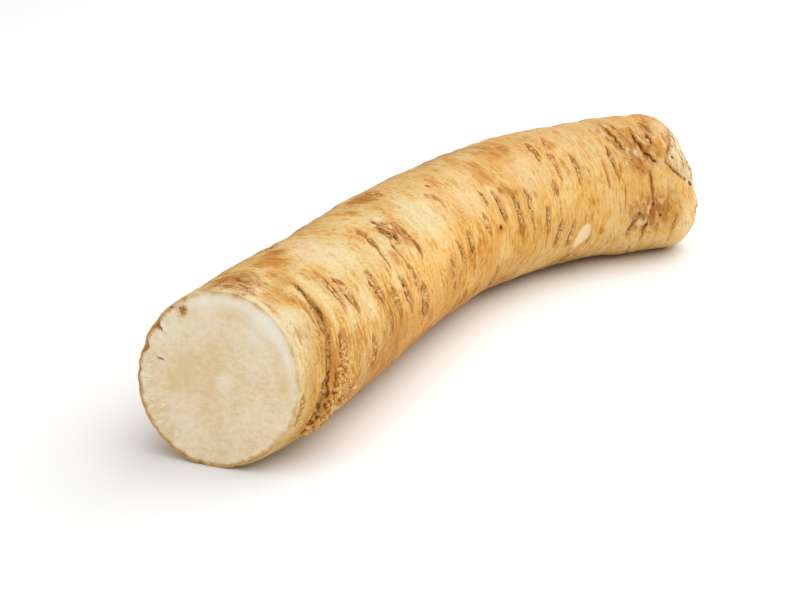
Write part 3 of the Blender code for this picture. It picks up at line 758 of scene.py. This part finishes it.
class Finish:
    # makes the nodes of one material
    def __init__(self, name):
        self.material = bpy.data.materials.new(name)
        self.material.use_nodes = True
        self.tree = self.material.node_tree
        self.tree.nodes.clear()

    def node(self, kind, settings, values, output=0):
        made = self.tree.nodes.new("ShaderNode" + kind)
        for name, value in settings.items():
            if name == "stops":
                fillRamp(made.color_ramp, value)
            else:
                setattr(made, name, value)
        for name, value in values.items():
            if isinstance(value, Wire):
                self.tree.links.new(value.socket, made.inputs[name])
            else:
                made.inputs[name].default_value = value
        return Wire(self, made.outputs[output]) if len(made.outputs) else None

    def field(self, name, output="Fac"):
        return self.node("Attribute", {"attribute_name": name}, {}, output)

    def axis(self, place, index):
        return self.node("SeparateXYZ", {}, {0: place}, index)

    def stretched(self, place, sizes):
        rates = tuple(1 / size for size in sizes)
        return self.node("VectorMath", {"operation": "MULTIPLY"}, {0: place, 1: rates})

    def grain(self, place, name):
        # noise about zero
        *sizes, detail, roughness, shift = grains[name]
        moved = self.stretched(place, sizes)
        if shift:
            moved = self.node("VectorMath", {"operation": "ADD"}, {0: moved, 1: [shift] * 3})
        values = {"Vector": moved, "Scale": 1, "Detail": detail, "Roughness": roughness}
        return self.node("TexNoise", {}, values) - 0.5

    def grains(self, place, *names):
        return [self.grain(place, name) for name in names]

    def mix(self, factor, first, second, blend="MIX"):
        settings = {"data_type": "RGBA", "blend_type": blend}
        return self.node("Mix", settings, {0: factor, 6: first, 7: second}, 2)

    def ramp(self, factor, stops):
        return self.node("ValToRGB", {"stops": stops}, {0: factor})

    def shine(self, colour, rough, height, look):
        # the whole material, from its colour, its roughness and the height of its bumps
        values = {"Strength": 1, "Distance": look["bumpDistance"] * mm, "Height": height}
        bumped = self.node("Bump", {}, values)
        values = {"Base Color": colour, "Roughness": rough, "Normal": bumped, **look["shader"]}
        self.node("OutputMaterial", {}, {"Surface": self.node("BsdfPrincipled", {}, values)})
        return self.material


class Paint:
    # a colour that more colours of the same look are laid over
    def __init__(self, finish, look, first):
        self.finish, self.look, self.colour = finish, look, first

    def lay(self, name, amount, blend="MIX"):
        self.colour = self.finish.mix(amount, self.colour, screenColour(self.look[name]), blend)

    def cover(self, other, amount):
        self.colour = self.finish.mix(amount, self.colour, other.colour)


def fillRamp(ramp, stops):
    while len(ramp.elements) < len(stops):
        ramp.elements.new(0.5)
    for element, (position, colour) in zip(ramp.elements, stops):
        element.position, element.color = position, screenColour(colour)


def screenColour(shown):
    # the linear colour that a shader takes, from the one that a screen shows, 0 to 255
    shares = [value / 255 for value in shown]
    linear = [share / 12.92 if share <= 0.04045 else ((share + 0.055) / 1.055) ** 2.4 for share in shares]
    return (*linear, 1)


# Grains of the finishes: sizes in mm along, up and to the right, detail, roughness, and a shift between them
grains = {
    "blotch": (22, 20, 20, 2, 0.5, 0), "broad": (2.4, 9, 9, 3, 0.6, 11.7),
    "patch": (6, 8, 8, 3, 0.58, 0), "streak": (1.1, 7, 7, 4, 0.62, 0),
    "mottle": (1.9, 2.6, 2.6, 4, 0.66, 4.7), "fleck": (0.7, 1, 1, 2, 0.6, 7.3),
    "curl": (2.6, 3.2, 3.2, 1.5, 0.5, 3.1), "hair": (1, 6, 6, 2, 0.6, 19.3),
    "fold": (1.2, 1.5, 1.5, 3, 0.65, 27.5), "speck": (0.75, 0.75, 0.75, 2, 0.5, 15.1),
    "grit": (0.9, 0.75, 0.75, 2, 0.6, 5.5), "fibre": (0.75, 2.2, 2.2, 3, 0.65, 2.2),
    "worn": (2.2, 3.4, 3.4, 2, 0.6, 9.4), "crumb": (1, 0.9, 0.9, 2, 0.5, 17.7),
    "hole": (2.2, 2.2, 2.2, 2.5, 0.6, 13.3), "corkCloud": (7, 6, 6, 3, 0.6, 31.9),
    "cutCloud": (9, 7, 7, 3, 0.55, 1.3), "flake": (3, 1.5, 2.2, 3, 0.65, 4.1),
    "dust": (0.6, 0.6, 0.6, 2, 0.6, 8.2), "spoke": (1.8, 5, 1, 4, 0.65, 0), "border": (4, 4, 4, 2, 0.5, 21),
    "crumbSkin": (0.8 * mm, 0.8 * mm, 0.8 * mm, 3, 0.6, 0),  # its place is in metres
}

# Every colour of a look is red, green and blue as a screen shows them
skinLook = {
    "papery": ((0.1, (170, 114, 42)), (0.32, (199, 148, 74)), (0.5, (210, 172, 104)), (0.68, (214, 188, 131)),
               (0.95, (218, 202, 160))),
    "golden": ((0.1, (192, 130, 48)), (0.32, (219, 168, 88)), (0.5, (229, 191, 121)), (0.68, (236, 208, 148)),
               (0.95, (239, 221, 176))),
    "paintedTopShade": (242, 242, 250), "paleGreyTan": (228, 194, 152), "paintedWarmLight": (255, 248, 234),
    "stain": (166, 108, 50), "fold": (178, 118, 52), "foldPale": (240, 206, 156),
    "rust": (178, 112, 42), "amber": (208, 146, 60), "thread": (150, 88, 20), "crease": (140, 78, 8),
    "scarEdge": (104, 54, 4), "scarDark": (136, 78, 14), "scarBrown": (188, 132, 66),
    "scarPale": (230, 192, 138), "scarFill": (150, 102, 44), "crackDark": (74, 38, 2),
    "pitDark": (100, 44, 6), "peelFlesh": (245, 221, 178),
    "corkPale": (232, 211, 168), "corkBrown": (176, 124, 66), "corkDark": (118, 72, 22),
    "roughness": 0.55, "fleshRoughness": 0.65,
    "driftSizes": (18, 18, 18), "drift": (7, 7, 7), "bumpDistance": 1,  # mm
    "shader": {
        "Specular IOR Level": 0.1,
        "Subsurface Weight": 0.06, "Subsurface Radius": (1, 0.5, 0.25), "Subsurface Scale": 1.5 * mm,
    },
}
# The clouds on the cut: up, right and reach in mm, colour and strength
fleshLook = {
    "tones": ((0.2, (233, 208, 160)), (0.5, (243, 223, 186)), (0.85, (249, 235, 208))),
    "ring": (255, 247, 228), "tan": (234, 205, 150), "rim": (200, 148, 74), "chip": (172, 112, 38),
    "clouds": (
        (3, -9, 8, "tan", 0.6), (-14, -17, 6, "tan", 0.4), (2, 20, 4, "tan", 0.7),
        (8, -3, 5, "tan", 0.35), (16, 13, 7, "ring", 0.7), (19, -5, 4, "ring", 0.4),
        (0, 2.3, 2.2, "ring", 0.4), (12, -15, 4, "ring", 0.4),
    ),
}


def skinColour(finish, grown, look):
    field = finish.field
    values = {"Vector": finish.stretched(grown, look["driftSizes"]), "Scale": 1, "Detail": 1}
    drift = finish.node("TexNoise", {}, values, "Color")
    wander = finish.node("VectorMath", {"operation": "MULTIPLY_ADD"}, {0: drift, 1: look["drift"], 2: grown})
    along, up, right = (finish.axis(grown, index) for index in range(3))
    farther, high, under = along.rise(90, 190), up.rise(6, 18), up.rise(3, -15)
    # the side that faces up and to the right, made lighter below as a painted highlight
    paintedLitSide = (up * 0.79 + right * 0.61).rise(12, 24)

    blotch, broad, patch = finish.grains(wander, "blotch", "broad", "patch")
    streak, mottle, fleck = *finish.grains(wander, "streak", "mottle"), finish.grain(grown, "fleck")
    rust, stain = field("rust"), field("stain")

    # the tone goes from brown at 0 to cream at 1
    tone = 0.43 + 0.6 * blotch + patch * (0.9 - 0.05 * farther) + mottle * (0.9 - 0.15 * farther)
    tone = tone + streak * (0.2 + 0.05 * farther) + fleck * (0.75 - 0.65 * farther)
    tone = tone + broad * (0.35 + 0.85 * farther)
    # lighter on the side facing up and right as a painted highlight; darker underneath near the cut as
    # painted shade, and lighter underneath towards the crown as painted light
    tone = tone + 0.36 * field("pale") - 0.2 * rust + 0.06 * paintedLitSide - 0.06 * under + 0.2 * under * farther
    tone = tone + 0.07 * along.rise(60, 30)
    # darker on top of the far half as painted shade, lighter on the skin next to the cut's rim as a painted
    # highlight, darker on the right side of the near half as painted shade
    tone = tone - 0.1 * farther * high + 0.25 * along.rise(13, 2) - 0.1 * right.rise(14, 20) * (1 - farther)
    tone = tone + (streak - 0.2 * mottle - 0.02) * right.rise(15, 22) * (1 - farther)
    lively = (farther * right.rise(2, 16)).larger(right.rise(15, 24) * (0.4 + 0.6 * along.rise(40, 80)))
    plain = finish.mix(lively, finish.ramp(tone, look["papery"]), finish.ramp(tone, look["golden"]))
    skin = Paint(finish, look, plain)
    # painted shade: the top of the skin is darkened from 20 to 40 mm on, most towards the crown
    skin.lay("paintedTopShade", high * (0.3 + 0.7 * farther) * along.rise(20, 40), "MULTIPLY")
    # paler and greyer tan on the upper back side of the far half
    skin.lay("paleGreyTan", farther * right.rise(2, -8) * 0.35)
    # painted warm light: the right side is warmed from about 60 mm along on
    skin.lay("paintedWarmLight", right.rise(16, 25) * along.rise(60, 90), "MULTIPLY")

    # tinted patches, each with a frayed edge
    frayed = streak + mottle + 0.9 * patch + 0.5 * broad
    broken = (0.8 + 1.6 * mottle + 1.4 * streak + 0.7 * fleck).clipped()
    skin.lay("amber", (0.5 * blotch + 0.9 * patch + 0.5 * mottle).rise(0.04, 0.2) * 0.35)
    skin.lay("amber", (field("warm") + frayed).rise(0.1, 1) * broken * 0.6)
    skin.lay("rust", (0.8 * rust + frayed).rise(0.15, 0.95) * broken * 0.8)
    curls = finish.grain(wander, "curl")
    ragged = 0.75 * stain + 1.1 * curls + 0.8 * fleck + 0.9 * streak + 0.9 * mottle
    # stains, with painted shade along the upper outline from the long rows of that table
    skin.lay("stain", ragged.rise(0.2, 0.9) * broken * 0.95)
    lines = curls.band(0.02, 0.024) * (stain + 0.8 * patch).rise(0.35, 0.75) * mottle.rise(-0.08, 0.05)
    skin.lay("scarEdge", lines * 0.7)

    # the folds of a tangle: the crumpled skin's own brown, laid darker in the hollows and in the thin clefts
    # between the folds as painted shade, and cream on their backs as a painted highlight
    folds = field("foldRise") + 1.3 * finish.grain(grown, "fold")
    crumpled = (field("tangle") + 1.2 * patch + 1.6 * mottle).rise(0.1, 0.9)
    hollowShade = (folds + 0.9 * fleck + 1.2 * mottle + 0.6 * streak).rise(0.15, -0.55)
    skin.lay("fold", crumpled * hollowShade * 0.85)
    skin.lay("foldPale", crumpled * (folds - 0.7 * streak - 0.5 * fleck).rise(0, 0.6) * 0.6)
    cleftShade = (folds + 0.4 * mottle).band(-0.1, 0.09) * crumpled * (mottle + 0.5 * streak).rise(-0.14, 0.02)
    skin.lay("scarEdge", cleftShade * 0.75)

    # thin brown threads round the root, more of them towards the crown
    crowd = blotch * 1.2 + patch + 0.4 * farther
    threads = (broad + 0.2 * crowd).rise(0.07, 0.22)
    skin.lay("amber", threads * (0.35 + 0.3 * farther))
    hairs = (finish.grain(wander, "hair") + 0.25 * crowd).rise(0.22, 0.32)
    skin.lay("thread", hairs * (0.6 - 0.25 * farther))
    skin.lay("rust", finish.grain(grown, "speck").rise(0.13, 0.22) * (0.55 - 0.35 * farther))
    return skin, streak, mottle, fleck, threads, crumpled * folds


def markColour(finish, grown, skin, fleck):
    # lays the marks over the skin's colour
    field, look, up = finish.field, skin.look, finish.axis(grown, 1)
    grit, fibre, worn, crumbly = finish.grains(grown, "grit", "fibre", "worn", "crumb")

    # scars: corky inside, rusty at their ends, fainter low down near the crown
    soft = finish.axis(grown, 0).rise(150, 175) * up.rise(6, -4)
    tone, inScar = field("scarTone") * (1 - 0.45 * soft), field("scar")
    scar = inScar + 0.6 * grit + 0.8 * worn
    side, end = field("scarSide") + 0.35 * grit + 0.8 * worn, field("scarEnd") + 0.8 * worn
    skin.lay("amber", (inScar + 1.8 * worn).rise(-1.1, 0.2) * 0.5 * tone)
    floor = Paint(finish, look, screenColour(look["scarBrown"]))
    floor.lay("scarPale", crumbly.rise(-0.08, 0.1))
    floor.lay("scarDark", (fibre + 0.5 * grit - 0.1 * side).rise(0.03, 0.13) * 0.85)
    floor.lay("scarFill", tone.rise(1, 1.2) * (0.55 + 1.6 * worn + grit))
    skin.cover(floor, scar.rise(-0.1, 0.5) * 0.85)
    skin.lay("rust", end.size().rise(0.4, 0.9) * scar.rise(-0.6, 0.1) * tone * 0.75)

    # the cleft along the nearer side of each scar and a fainter one along the other: the scars' own dark
    # edges, darkened further in the sunken cleft as painted shade
    cleft = side.band(-0.45, 0.55) * (fibre + 0.5 * worn).rise(-0.18, 0)
    other = side.band(0.6, 0.4) * (fibre - 0.8 * worn).rise(-0.04, 0.1) * 0.6
    clefts = cleft.larger(other) * inScar.rise(-0.8, 0) * tone
    skin.lay("scarEdge", (clefts * 1.3).clipped())
    skin.lay("crackDark", clefts.rise(0.5, 0.9) * 0.65)
    crease = field("crease") + 0.5 * grit
    skin.lay("amber", crease.rise(-0.5, 0.8) * 0.35)
    line = (field("creaseSide") + 0.7 * fibre).band(0, 0.6) * crease.rise(-0.4, 0.3)
    skin.lay("crease", (line * (0.55 + 1.6 * fibre + 1.2 * worn) * field("creaseTone")).clipped())

    # the corky end: tanned, with dark holes
    cork = field("cork") + 1.6 * grit + 1.8 * worn
    holes, upper = finish.grain(grown, "hole") + 0.2 * grit, up.rise(-2, 20)
    cloudy = finish.grain(grown, "corkCloud")
    corkEnd = Paint(finish, look, screenColour(look["corkPale"]))
    corkEnd.lay("corkBrown", (worn + cloudy + 0.6 * grit + 0.5 * fibre + 0.1 * upper).rise(-0.2, 0.3) * 0.7)
    dark = holes + 0.6 * worn + 0.5 * cloudy + 0.5 * fibre + 0.04 * upper
    corkEnd.lay("corkDark", dark.rise(0.06, 0.3) * 0.8)
    skin.cover(corkEnd, cork.rise(-1, 1.6) * 0.9)

    # cracks: a brown halo, a broken line and its deepest parts
    crack, crackTone = field("crack") + 0.5 * grit, field("crackTone")
    halo = (field("crack") + 2.4 * worn + 1.8 * fibre + 1.2 * grit).rise(-1.8, 0.3) * 0.55
    skin.lay("fold", halo * crackTone)
    line = (field("crackSide") + 0.8 * grit + 0.6 * fibre).band(0, 0.7) * crack.rise(-0.6, 0.2)
    broken = (1 + 2.5 * worn + 1.5 * fibre).clipped()
    skin.lay("crease", (line * 1.4 * crackTone * broken).clipped())
    skin.lay("crackDark", (line + 1.6 * worn + 0.8 * grit).rise(0.55, 1) * crackTone.rise(0.5, 1) * 0.9)
    skin.lay("pitDark", (field("pit") + 0.5 * grit).rise(-0.1, 0.5) * 0.9)
    skin.lay("peelFlesh", (field("peel") + 0.16 * fleck).rise(-0.05, 0.22))
    return grit, fibre, holes


def cutColour(finish, grown):
    field, look = finish.field, fleshLook
    cloud, flakes, dust = finish.grains(grown, "cutCloud", "flake", "dust")
    flesh = Paint(finish, look, finish.ramp(0.5 + 0.9 * cloud + 1.1 * flakes + 0.6 * dust, look["tones"]))
    for up, right, reach, name, strength in look["clouds"]:
        away = finish.node("VectorMath", {"operation": "DISTANCE"}, {0: grown, 1: (0, up, right)}, "Value")
        flesh.lay(name, (away * (1 / reach) + 2.2 * cloud + 0.8 * flakes).rise(1.3, 0.2) * strength)

    # torn fibres that run in from the left rim, paler where they stand up and tan between them: painted
    # highlight and painted shade over their bumps
    inward, darkRim = field("flesh"), field("darkRim")
    up, right = finish.axis(grown, 1), finish.axis(grown, 2)
    turn = up.math("ARCTAN2", right * -1) * body["radii"][0]
    ray = finish.node("CombineXYZ", {}, {0: turn, 1: inward, 2: 0})
    spokes = finish.grain(ray, "spoke") * right.rise(-5, -15) * inward.rise(10, 3)
    flesh.lay("ring", spokes.rise(0, 0.12) * 0.6)
    flesh.lay("tan", spokes.rise(-0.01, -0.12) * 0.5)

    # a pale ring near the rim on the upper part of the cut, a painted highlight; a tan one further in, the
    # brown rim, the nicks and the burrs
    flesh.lay("ring", (inward + 1.2 * flakes).band(2.4, 2) * (1 - darkRim) * up.rise(-6, 10) * 0.65)
    inner = (inward + 4 * flakes + 4 * cloud).band(5.8, 2) * up.rise(-4, 10)
    flesh.lay("tan", inner * right.rise(-8, 8) * 0.35)
    flesh.lay("rim", (inward + 1.8 * flakes + 2.2 * cloud).rise(1.9, 0.6) * darkRim * 0.9)
    flesh.lay("chip", (field("brownRun") - inward + 1.6 * flakes + 0.6 * dust).rise(0.15, 0.7) * 0.9)
    burr = field("burr") + 2.4 * flakes + 1.6 * dust
    flesh.lay("rim", burr.rise(-0.6, 0.1) * 0.6)
    flesh.lay("chip", burr.rise(0, 0.7) * 0.9)
    return flesh, flakes + 1.6 * spokes, dust


def rootFinish():
    finish = Finish("horseradishRoot")
    grown = finish.field("grown", "Vector")
    skin, streak, mottle, fleck, threads, folds = skinColour(finish, grown, skinLook)
    grit, fibre, holes = markColour(finish, grown, skin, fleck)
    flesh, flakes, dust = cutColour(finish, grown)
    darkRim = finish.field("darkRim")
    ragged = 2.4 * finish.grain(grown, "border") - 0.4
    border = finish.field("flesh") + 0.3 * flakes + (1 - darkRim) * ragged
    onFlesh = finish.mix(darkRim, border.rise(-0.7, 0.9), border.rise(-0.1, 0.3))

    skin.cover(flesh, onFlesh)

    inScar, cork = finish.field("scar").rise(0, 0.5), finish.field("cork").rise(-0.3, 0.6)
    rough = skinLook["roughness"] + 0.25 * inScar + 0.4 * streak + 0.3 * fleck
    rough = rough + onFlesh * (skinLook["fleshRoughness"] - skinLook["roughness"])
    height = 0.1 * streak + 0.16 * mottle + 0.07 * fleck - 0.05 * threads + 0.25 * folds
    height = height + inScar * (0.25 * grit + 0.35 * fibre)
    height = height + cork * (0.4 * grit - 0.5 * holes.rise(0.06, 0.2))
    height = height * (1 - onFlesh) + onFlesh * (0.22 * flakes + 0.12 * dust)
    return finish.shine(skin.colour, rough.clipped(), height, skinLook)


crumbLook = {
    "tones": ((0.25, (108, 58, 6)), (0.6, (202, 142, 62)), (1, (238, 200, 134))),
    "roughness": 0.6,
    "bumpDistance": 0.3,  # mm
    "shader": {"Specular IOR Level": 0.1},
}


def crumbFinish():
    finish = Finish("rootletCrumbs")
    place = finish.node("TexCoord", {}, {}, "Object")
    mottle = finish.grain(place, "crumbSkin")
    # paler on the outward tops as a painted highlight, dark at the bases against the skin as painted shade
    colour = finish.ramp(0.5 + 0.4 * finish.field("tip") + 1.2 * mottle, crumbLook["tones"])
    return finish.shine(colour, crumbLook["roughness"], mottle, crumbLook)


def addObject(name, data):
    made = bpy.data.objects.new(name, data)
    bpy.context.scene.collection.objects.link(made)
    return made


def addRoot():
    root = addObject("horseradishSkin", rootMesh())
    root.data.materials.append(rootFinish())
    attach(root, "root")
    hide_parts("horseradish_root")
    print("root:", len(root.data.polygons), "faces")
    bits = addObject("rootletCrumbs", crumbMesh())
    bits.data.materials.append(crumbFinish())
    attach(bits, "root")
    print("crumbs:", len(bits.data.polygons), "faces")


studio = {
    "floorSize": 4,
    "floorColour": (0.87, 0.87, 0.87, 1),
    "worldStrength": 0.53,
    # power, size and place of each lamp
    "lamps": {"keyLight": (10.2, 1.3, (0.76, -0.22, 0.74)), "fillLight": (6, 1.3, (-0.1, -0.3, 0.95))},
}


def addStudio():
    side = studio["floorSize"] / 2
    mesh = bpy.data.meshes.new("studioFloor")
    corners = [(-side, -side, 0), (side, -side, 0), (side, side, 0), (-side, side, 0)]
    mesh.from_pydata(corners, [], [(0, 1, 2, 3)])
    floor = addObject("studioFloor", mesh)
    finish = Finish("studioFloor")
    shader = finish.node("BsdfDiffuse", {}, {"Color": studio["floorColour"]})
    finish.node("OutputMaterial", {}, {"Surface": shader})
    mesh.materials.append(finish.material)

    world = bpy.data.worlds.new("studioWorld")
    world.use_nodes = True
    backdrop = world.node_tree.nodes["Background"]
    backdrop.inputs["Color"].default_value = (1, 1, 1, 1)
    backdrop.inputs["Strength"].default_value = studio["worldStrength"]
    bpy.context.scene.world = world

    for name, (power, size, place) in studio["lamps"].items():
        light = bpy.data.lights.new(name, "AREA")
        light.energy, light.size = power, size
        lamp = addObject(name, light)
        lamp.location = place
        lamp.rotation_euler = (-Vector(place)).to_track_quat("-Z", "Y").to_euler()
    print("studio: floor, world and lamps")


view = {"place": (-0.480, -0.3198, 0.2105), "bearing": 35, "tilt": -19.4, "lens": 86.1, "sensor": 36}


def addCamera():
    camera = addObject("photoCamera", bpy.data.cameras.new("photoCamera"))
    camera.location = view["place"]
    bearing, tilt = math.radians(view["bearing"]), math.radians(view["tilt"])
    ahead = Vector((math.cos(bearing) * math.cos(tilt), math.sin(bearing) * math.cos(tilt), math.sin(tilt)))
    camera.rotation_euler = ahead.to_track_quat("-Z", "Y").to_euler()
    camera.data.lens, camera.data.sensor_width = view["lens"], view["sensor"]
    camera.data.clip_start, camera.data.clip_end = 0.01, 20
    bpy.context.scene.camera = camera
    bpy.context.scene.view_settings.view_transform = "Standard"
    print("camera: at the photograph's angle")


addCamera()
addRoot()
addStudio()
